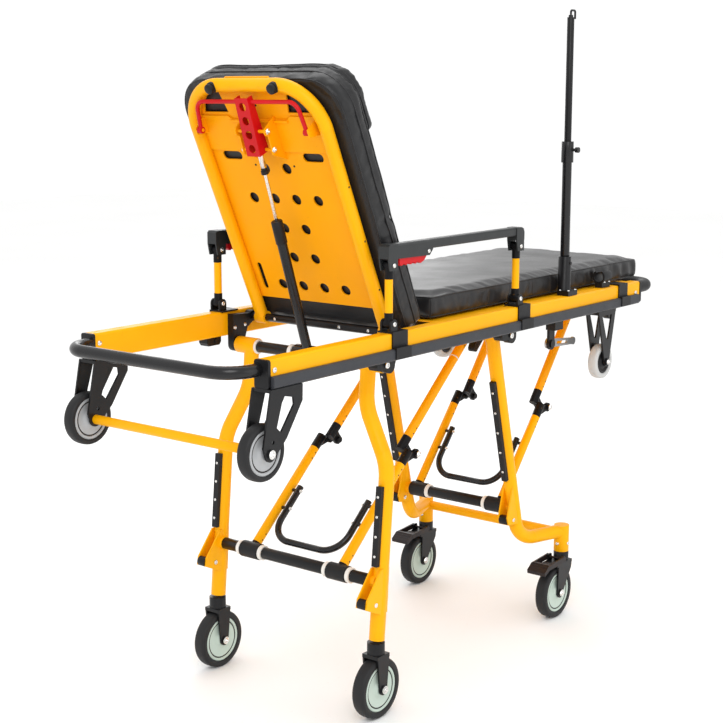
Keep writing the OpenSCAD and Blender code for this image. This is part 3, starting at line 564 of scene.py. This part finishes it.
def make_stay_details():
    for name, body, low, mid, y, knee in (
            ("front_lower", "front_lower_stay", FRONT_LOW, FRONT_MID, LOWER_STAY_Y, FRONT_KNEE),
            ("rear_lower", "rear_lower_stay", REAR_LOW, REAR_MID, LOWER_STAY_Y, REAR_KNEE),
            ("front_upper", "front_upper_stay", REAR_PIVOT, FRONT_MID, UPPER_STAY_Y, None),
            ("rear_upper", "rear_upper_stay", FOOT_PIVOT, REAR_MID, UPPER_STAY_Y, None)):
        length = math.hypot(mid[0] - low[0], mid[1] - low[1])
        # Dark discs on both faces near each end: painted shade of the stays' holes
        bm = bmesh.new()
        for sign in (1, -1):
            for d in (34, 52, length - 74, length - 56):
                for out in (1, -1):
                    p = at(line(low, mid, d), sign * y + out * 12.1)
                    lathe(bm, p, (0, out, 0), [(0, 0.4), (2.0, 0.35), (2.0, -1), (0, -1)], 16)
        from_bmesh("hole_shade_" + name, bm, RECESS_SHADE, body)
        if knee:
            bm = bmesh.new()
            for sign in (1, -1):
                nut(bm, at(knee, sign * (y + 11)), (0, sign, 0), 7.0, 4.0)
            steel("knee_bolts_" + name, bm, body, 30)
    for name, body, low, mid, lo, hi in (
            ("front_hoop_nuts", "front_lower_stay", FRONT_LOW, FRONT_MID, 138, 194),
            ("rear_hoop_nuts", "rear_lower_stay", REAR_LOW, REAR_MID, 142, 198)):
        bm = bmesh.new()
        for sign in (1, -1):
            for d in (lo, hi):
                nut(bm, at(line(low, mid, d), sign * 103.5), (0, -sign, 0), 4.0, 3.5)
        steel(name, bm, body, 30)
    bm = bmesh.new()
    tie = at(line(REAR_PIVOT, FRONT_MID, 96), -UPPER_STAY_Y)
    way = Vector((FRONT_MID[0] - REAR_PIVOT[0], 0, FRONT_MID[1] - REAR_PIVOT[1]))
    ring(bm, tie, way, 12.4, 13.4, 3.4)
    from_bmesh("cable_tie", bm, NYLON, "front_upper_stay")


def strip_screws(name, body, a, b, z0, z1, y, count):
    """Screws down a buffer strip on the head side of the leg from a to b."""
    along = Vector((b[0] - a[0], 0, b[1] - a[1])).normalized()
    out = Vector((along.z, 0, -along.x))
    if out.x > 0:
        out = -out
    bm = bmesh.new()
    for i in range(count):
        z = z0 + (z1 - z0) * (i + 0.35) / (count - 0.3)
        x = a[0] + (b[0] - a[0]) * (z - a[1]) / (b[1] - a[1])
        for sign in (1, -1):
            screw(bm, vec(x, sign * y, z) + out * 29 * MM, out, 3.6, 2.0)
    steel(name, bm, body)


def make_fasteners():
    strip_screws("front_strip_screws", "front_legs", FRONT_PIVOT, FRONT_FOOT, 560, 384,
                 FRONT_LEG_Y, 4)
    strip_screws("rear_strip_screws", "rear_legs", REAR_PIVOT, REAR_CORNER, 715, 446,
                 REAR_LEG_Y, 5)
    bm = bmesh.new()
    for sign in (1, -1):
        for x, z in ((-820, 913), (770, 905)):
            for out in (1, -1):
                screw(bm, vec(x, sign * (RAIL_Y + out * 18), z), (0, sign * out, 0), 6.5, 3.0)
        for x in (-428, 103):
            screw(bm, vec(x, sign * 287, 865), (0, sign, 0), 7.5, 3.0)
        for x in ARM_X:
            for out in (1, -1):
                screw(bm, vec(x, sign * (ARM_Y + out * 16.4), 957), (0, sign * out, 0), 6.0, 3.2)
        for x in (-347, 690):
            screw(bm, vec(x, sign * 232, 900), (0, -sign, 0), 5.0, 2.4)
        screw(bm, vec(-384, sign * 232, 896), (0, -sign, 0), 5.0, 2.4)
    for y in (-60, 60, -150, 150):
        screw(bm, vec(-314.5 - 9.6, y, 918.5), (-1, 0, 0), 4.0, 2.0)
    for x in (390, 426):
        for y in (-284, -258):
            screw(bm, vec(x, y, 950), (0, 0, 1), 4.0, 2.2)
    for x in (600, 626):
        screw(bm, vec(x, -278, 952), (0, 0, 1), 4.0, 2.2)
    steel("rail_screws", bm, "base")
    for side, sign in (("l", 1), ("r", -1)):
        bm = bmesh.new()
        for x in ARM_X:
            for out in (1, -1):
                screw(bm, vec(x, sign * ARM_Y + out * 15.0, GRIP_Z), (0, out, 0), 5.5, 3.0)
        for out in (1, -1):
            screw(bm, vec(LEVER_PIN[0], sign * ARM_Y + out * 13.0, LEVER_PIN[1]),
                  (0, out, 0), 5.0, 2.6)
        screw(bm, vec(ARM_X[1] + 15, sign * ARM_Y, 1104), (1, 0, 0), 5.0, 2.6)
        steel("grip_screws_" + side, bm, "arm_grip_" + side)
    bm = bmesh.new()
    for sign in (1, -1):
        for out in (1, -1):
            screw(bm, vec(-457, sign * (FRONT_LEG_Y + out * 16), 291), (0, sign * out, 0),
                  6.0, 3.0)
    steel("front_nose_screws", bm, "front_legs")
    bm = bmesh.new()
    for sign in (1, -1):
        for out in (1, -1):
            screw(bm, vec(262, sign * (REAR_LEG_Y + out * 16), 318), (0, sign * out, 0),
                  6.0, 3.0)
        screw(bm, vec(464.5, sign * (REAR_CASTOR_Y + 21.4), 212), (0, sign, 0), 5.0, 2.6)
        screw(bm, vec(464.5 - 21.4, sign * REAR_CASTOR_Y, 212), (-1, 0, 0), 5.0, 2.6)
    steel("rear_leg_screws", bm, "rear_legs")


def plate_between(bm, outline, n0, n1):
    """Closed sheet on the backrest; outline as (s, y), n from n0 to n1."""
    low = [bm.verts.new(on_back(s, y, n0)) for s, y in outline]
    high = [bm.verts.new(on_back(s, y, n1)) for s, y in outline]
    bm.faces.new(low)
    bm.faces.new(list(reversed(high)))
    for i in range(len(outline)):
        j = (i + 1) % len(outline)
        bm.faces.new((low[i], low[j], high[j], high[i]))


def make_backrest_details():
    bm = bmesh.new()
    plate_between(bm, [(470, -186), (470, 186), (560, 186), (560, 96), (552, 84), (552, -84),
                       (560, -96), (560, -186)], 5.5, 9.7)
    soften(from_bmesh("backrest_cross_plate", bm, PANEL, "backrest", "yellow_paint", 30),
           0.0012)
    bm = bmesh.new()
    plate_between(bm, [(640, -74), (640, 74), (657, 66), (657, -66)], 6, 11)
    soften(from_bmesh("backrest_top_lip", bm, PANEL, "backrest", "yellow_paint", 30), 0.0012)
    bm = bmesh.new()
    for sign in (1, -1):
        lathe(bm, on_back(640, sign * 95, -13), -OUT_BACK,
              [(0, 16), (8, 15.6), (11.5, 13.6), (12.4, 11), (12.4, 7.5), (10.4, 6),
               (13.2, 4.5), (13.4, 2.4), (13.4, -2), (0, -2)], 48, 12, 0.012)
    knobs = from_bmesh("backrest_bumper_knobs", bm, MATS["black_plastic"], "backrest",
                       "black_metal")
    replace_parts(knobs, "backrest_knobs")
    # Dark discs at the rivets on the cross plate and the frame sides: painted shade of the rivet
    # holes
    bm = bmesh.new()
    for s, y in ((432, -60), (432, 60), (545, -130), (545, 130), (585, 0)):
        lathe(bm, on_back(s, y, 10), -OUT_BACK, [(0, 1.3), (2.4, 1.0), (2.8, -1), (0, -1)], 20)
    for sign in (1, -1):
        for s in (120, 250, 390):
            lathe(bm, on_back(s, sign * 215, 0), (0, sign, 0),
                  [(0, 0.4), (2.6, 0.3), (2.6, -2), (0, -2)], 16)
    from_bmesh("backrest_rivet_hole_shade", bm, RECESS_SHADE, "backrest")
    bm = bmesh.new()
    for out in (1, -1):
        nut(bm, on_back(RELEASE_PIVOT[0], out * 47, RELEASE_PIVOT[1]), (0, out, 0), 6.5, 4.0)
        nut(bm, on_back(SPRING_EYE[0], out * 47, SPRING_EYE[1]), (0, out, 0), 6.0, 4.0)
    steel("release_bolts", bm, "backrest", 30)
    # Collar high on the piston rod, clear of the cap when the rod is in, and the cap
    eye = on_back(SPRING_EYE[0], 0, SPRING_EYE[1])
    base = at(FRONT_PIVOT, 0)
    way = (eye - base).normalized()
    bm = bmesh.new()
    lathe(bm, eye - way * COLLAR_DROP * MM, way,
          [(4.6, -7), (8.4, -7), (9.2, -6), (9.2, 2), (7.4, 3), (7.4, 8), (4.6, 8)], 32)
    from_bmesh("gas_rod_collar", bm, MATS["black_plastic"], "gas_rod", "black_plastic")
    bm = bmesh.new()
    lathe(bm, base + way * CAP_RISE * MM, way,
          [(12.05, -27), (13.2, -27), (13.9, -26), (13.9, 28), (12.6, 30), (4.8, 30.4),
           (4.8, 28.2), (12.05, 28)], 48)
    from_bmesh("gas_cylinder_cap", bm, MATS["black_plastic"], "gas_cylinder", "black_plastic")


def handle(node, x_in, x_bar, y, z, bend, d, mat):
    """Smooth bent bar in the place of a CAD handle: two arms at +-y and a bar at x_bar."""
    way = 1 if x_bar > x_in else -1
    path = [(x_in + (x_bar - way * bend - x_in) * k / 4, y) for k in range(4)]
    for k in range(19):
        a = math.radians(90 * k / 18)
        path.append((x_bar - way * bend * (1 - math.sin(a)), y - bend * (1 - math.cos(a))))
    path += [(x_bar, (y - bend) * k / 5) for k in (4, 3, 2, 1)]
    path += [(x_bar, 0)] + [(x, -v) for x, v in reversed(path)]
    bm = bmesh.new()
    sweep(bm, [vec(x, v, z) for x, v in path], d / 2, 40)
    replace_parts(from_bmesh(node + "_bar", bm, mat, "base", "black_metal"), node)


def make_handles():
    handle("head_handle", -841, -920.5, 259, 913, 66, 29, BAR_BLACK)
    handle("foot_handle", 803, 917, 266, 915, 62, 36, MATS["black_plastic"])


def make_pedal_ribs():
    for side, sign in (("l", 1), ("r", -1)):
        bm = bmesh.new()
        for i in range(4):
            x = 332.5 + i * 6.4
            z = 153.5 + i * 5.2
            points = [vec(x, sign * REAR_CASTOR_Y + y, z + 5.4) for y in (-27, -13, 0, 13, 27)]
            sweep(bm, points, 1.6, 10)
        from_bmesh("pedal_ribs_" + side, bm, MATS["pedal_plastic"], "brake_" + side,
                   "pedal_plastic")


# ---- Cushions ----

def rounded_outline(x0, x1, half, corner0, corner1, steps=12):
    """Outline points (x, y), anticlockwise, with corner radii at each end."""
    points = []
    for cx, cy, r, a0 in ((x1 - corner1, half - corner1, corner1, 0),
                          (x0 + corner0, half - corner0, corner0, 90),
                          (x0 + corner0, corner0 - half, corner0, 180),
                          (x1 - corner1, corner1 - half, corner1, 270)):
        for k in range(steps + 1):
            a = math.radians(a0 + 90 * k / steps)
            points.append((cx + r * math.cos(a), cy + r * math.sin(a)))
    return points


def slab(name, outline, low, high, place):
    """Closed solid between low and high over an outline; place turns (x, y, n) into a point."""
    bm = bmesh.new()
    a = [bm.verts.new(place(x, y, low)) for x, y in outline]
    b = [bm.verts.new(place(x, y, high)) for x, y in outline]
    bm.faces.new(a)
    bm.faces.new(list(reversed(b)))
    for i in range(len(outline)):
        j = (i + 1) % len(outline)
        bm.faces.new((a[i], a[j], b[j], b[i]))
    return linked(name, bm)


def apply_modifiers(piece):
    bpy.context.view_layer.update()
    made = bpy.data.meshes.new_from_object(
        piece.evaluated_get(bpy.context.evaluated_depsgraph_get()))
    piece.modifiers.clear()
    old, piece.data = piece.data, made
    bpy.data.meshes.remove(old)


def points_of(piece):
    co = np.zeros(len(piece.data.vertices) * 3)
    piece.data.vertices.foreach_get("co", co)
    return co.reshape(-1, 3)


def stuff(piece, voxel, pinned, pressure, cap):
    """Swells a closed solid with cloth pressure, by cap metres at most.

    pinned gives each point's hold, 0 to 1.
    """
    remesh = piece.modifiers.new("remesh", "REMESH")
    remesh.mode, remesh.voxel_size = "VOXEL", voxel
    apply_modifiers(piece)
    rest = points_of(piece)
    group = piece.vertex_groups.new(name="held")
    for i, hold in enumerate(pinned(rest)):
        if hold > 0:
            group.add([i], float(hold), "REPLACE")
    cloth = piece.modifiers.new("cloth", "CLOTH")
    s = cloth.settings
    s.quality, s.mass = 5, 0.3
    s.tension_stiffness = s.compression_stiffness = 12
    s.shear_stiffness, s.bending_stiffness = 6, 0.6
    s.use_pressure, s.uniform_pressure_force = True, pressure
    s.vertex_group_mass, s.pin_stiffness = "held", 1.0
    s.shrink_min = -0.03
    s.effector_weights.gravity = 0
    cloth.collision_settings.use_collision = False
    for step in range(1, 21):
        bpy.context.scene.frame_set(step)
    apply_modifiers(piece)
    moved = points_of(piece) - rest
    length = np.linalg.norm(moved, axis=1, keepdims=True)
    moved *= np.minimum(1.0, cap / np.maximum(length, 1e-9))
    piece.data.vertices.foreach_set("co", (rest + moved).ravel())
    piece.data.update()
    bpy.context.scene.frame_set(1)


def shape(piece, change):
    """Moves each point by what change returns for it."""
    co = points_of(piece)
    piece.data.vertices.foreach_set("co", np.array([change(Vector(p)) for p in co]).ravel())
    piece.data.update()


def finish_cushion(piece, body, fill, *nodes):
    """Smooths a cushion and puts it on its body, in the place of nodes."""
    smooth = piece.modifiers.new("smooth", "SMOOTH")
    smooth.factor, smooth.iterations = 0.5, 3
    subdivision = piece.modifiers.new("subdivision", "SUBSURF")
    subdivision.levels = subdivision.render_levels = 1
    apply_modifiers(piece)
    piece.data.materials.clear()
    piece.data.materials.append(MATS["black_vinyl"])
    piece.data.shade_smooth()
    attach(piece, body)
    if nodes:
        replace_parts(piece, *nodes)


def dense(outline, step):
    """Outline with points no further apart than step."""
    out = []
    for i, a in enumerate(outline):
        b = outline[(i + 1) % len(outline)]
        count = max(1, int(math.dist(a, b) / step))
        out += [(a[0] + (b[0] - a[0]) * k / count, a[1] + (b[1] - a[1]) * k / count)
                for k in range(count)]
    return out


def rim_hold(outline, levels, place, reach):
    """Hold of each point by its nearness to the sewn rims of an outline."""
    rims = np.array([place(x, y, n) for x, y in dense(outline, 8) for n in levels])

    def hold(points):
        best = np.full(len(points), 1e9)
        for part in range(0, len(rims), 64):
            d = np.linalg.norm(points[:, None] - rims[None, part:part + 64], axis=2).min(1)
            best = np.minimum(best, d)
        return np.clip(1.15 - best / reach, 0, 1)

    return hold


def surface_of(piece):
    return BVHTree.FromPolygons([v.co for v in piece.data.vertices],
                                [p.vertices for p in piece.data.polygons])


def piping(name, cushion, outline, levels, place, body, radius):
    """Piping cords that follow the cushion's own surface nearest to each rim."""
    tree = surface_of(cushion)
    bm = bmesh.new()
    for n in levels:
        points = []
        for x, y in dense(outline, 8):
            spot, normal = tree.find_nearest(place(x, y, n))[:2]
            points.append(spot + normal * 0.4 * MM)
        for _ in range(4):
            points = [(points[i - 1] + points[i] * 2 + points[(i + 1) % len(points)]) / 4
                      for i in range(len(points))]
        sweep(bm, points, radius, 10, closed=True)
    from_bmesh(name, bm, PIPING, body, "black_vinyl", 0)


def make_leg_cushion():
    lo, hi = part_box("leg_mattress")
    x0, x1, half = lo.x / MM, hi.x / MM, hi.y / MM
    z0, z1 = lo.z / MM, hi.z / MM
    inset = 3
    outline = rounded_outline(x0 + inset, x1 - inset, half - inset, 13, 13)
    piece = slab("leg_cushion", outline, z0 + 1, z1 - 4, vec)
    hold = rim_hold(outline, (z0 + 1, z1 - 4), vec, 0.009)
    stuff(piece, 0.0075, hold, 3.0, 0.010)

    def change(p):
        x, y, z = p / MM
        edge = min(x - x0, x1 - x, half - abs(y))
        t = min(1, max(0, (z - z0) / (z1 - z0)))
        # Sewn sides gather into upright ripples
        run = x if abs(y) > half - 40 else y
        side = math.exp(-max(0.0, edge - 4) / 7) * math.sin(math.pi * t)
        ripple = noise.noise(Vector((run * 0.026, z * 0.006, 3.0)))
        ripple += 0.5 * noise.noise(Vector((run * 0.065, z * 0.008, 9.0)))
        push = side * ripple * 4.4
        out = Vector((0, math.copysign(1, y), 0)) if half - abs(y) < min(x - x0, x1 - x) \
            else Vector((-1 if x - x0 < x1 - x else 1, 0, 0))
        q = p + out * push * MM
        # The top dips and swells a little
        if t > 0.8:
            q.z += (noise.noise(Vector((x, y, 0)) * 0.0075) * 1.5
                    + noise.noise(Vector((x, y, 7)) * 0.02) * 0.6) * MM
        q.z = max(q.z, (z0 + 0.3) * MM)
        return q

    shape(piece, change)
    finish_cushion(piece, "base", 0.85, "leg_mattress")
    rim = rounded_outline(x0 + 2.6, x1 - 2.6, half - 2.6, 13, 13)
    piping("leg_cushion_piping", piece, rim, (z0 + 1.0, z1 - 2.0), vec, "base", 1.9)
    tree = surface_of(piece)
    bm = bmesh.new()
    for x in (x0, x1):
        for y in (-half, half):
            points = [tree.find_nearest(vec(x, y, z))[0] for z in np.linspace(z0 + 3, z1 - 4, 9)]
            sweep(bm, points, 1.5, 8)
    from_bmesh("leg_cushion_corner_seams", bm, PIPING, "base", "black_vinyl", 0)


def backrest_place(p):
    """Distances s and n of a point p from the hinge, and its y, in mm."""
    local = p / MM - Vector((HINGE.x, 0, HINGE.z))
    return local.dot(UP_BACK), local.dot(OUT_BACK), p.y / MM


def make_back_cushion():
    outline = rounded_outline(-13, 646, 244, 16, 86)
    piece = slab("back_cushion", outline, 20, 88, on_back)
    hold = rim_hold(outline, (20, 60, 88), on_back, 0.009)
    stuff(piece, 0.0075, hold, 3.6, 0.016)

    def change(p):
        s, n, y = backrest_place(p)
        q = p.copy()
        front = min(1, max(0, (n - 30) / 40))
        # Sewn channel where the upper and the lower part of the cushion meet
        q -= OUT_BACK * (front * 7 * math.exp(-((s - CHANNEL_S) / 7) ** 2)) * MM
        edge = 248 - abs(y)
        if edge < 40:
            pull = (1 - edge / 40) * 5 * math.exp(-((s - CHANNEL_S) / 7) ** 2)
            q.y -= math.copysign(pull * MM, y)
        # Soft creases that run up the upper part
        crease = noise.noise(Vector((s * 0.007, y * 0.02, n * 0.05)))
        q += OUT_BACK * (crease * 2.2 * front) * MM
        if edge < 60:
            q.y += noise.noise(Vector((s * 0.012, n * 0.07, 2))) * 2.6 * MM
        # The back lies flat on the panel
        return q + OUT_BACK * max(0.0, 18 - n) * MM

    shape(piece, change)
    finish_cushion(piece, "backrest", 0.8, "backrest_mattress")
    rim = rounded_outline(-13, 646.5, 244.6, 16, 86)
    piping("back_cushion_piping", piece, rim, (20, 58, 88), on_back, "backrest", 2.1)

    top = rounded_outline(478, 647, 238, 22, 84)
    pillow = slab("head_pillow", top, 82, 113, on_back)
    hold = rim_hold(top, (84,), on_back, 0.012)
    stuff(pillow, 0.006, hold, 5.0, 0.016)

    def dent(p):
        s, n, y = backrest_place(p)
        front = min(1, max(0, (n - 88) / 20))
        gather = noise.noise(Vector((s * 0.012, y * 0.045, 1))) * 2.4
        hollow = 5 * math.exp(-(y / 120) ** 2 - ((s - 565) / 60) ** 2)
        q = p + OUT_BACK * (gather - hollow) * front * MM
        q += UP_BACK * noise.noise(Vector((y * 0.04, n * 0.05, 4))) * 2.4 * MM
        return q

    shape(pillow, dent)
    finish_cushion(pillow, "backrest", 0.9)
    piping("head_pillow_piping", pillow, top, (96,), on_back, "backrest", 1.8)


make_camera()
make_studio()
dress_nodes()
make_wheels()
make_rings()
make_stay_details()
make_fasteners()
make_backrest_details()
make_handles()
make_pedal_ribs()
make_leg_cushion()
make_back_cushion()
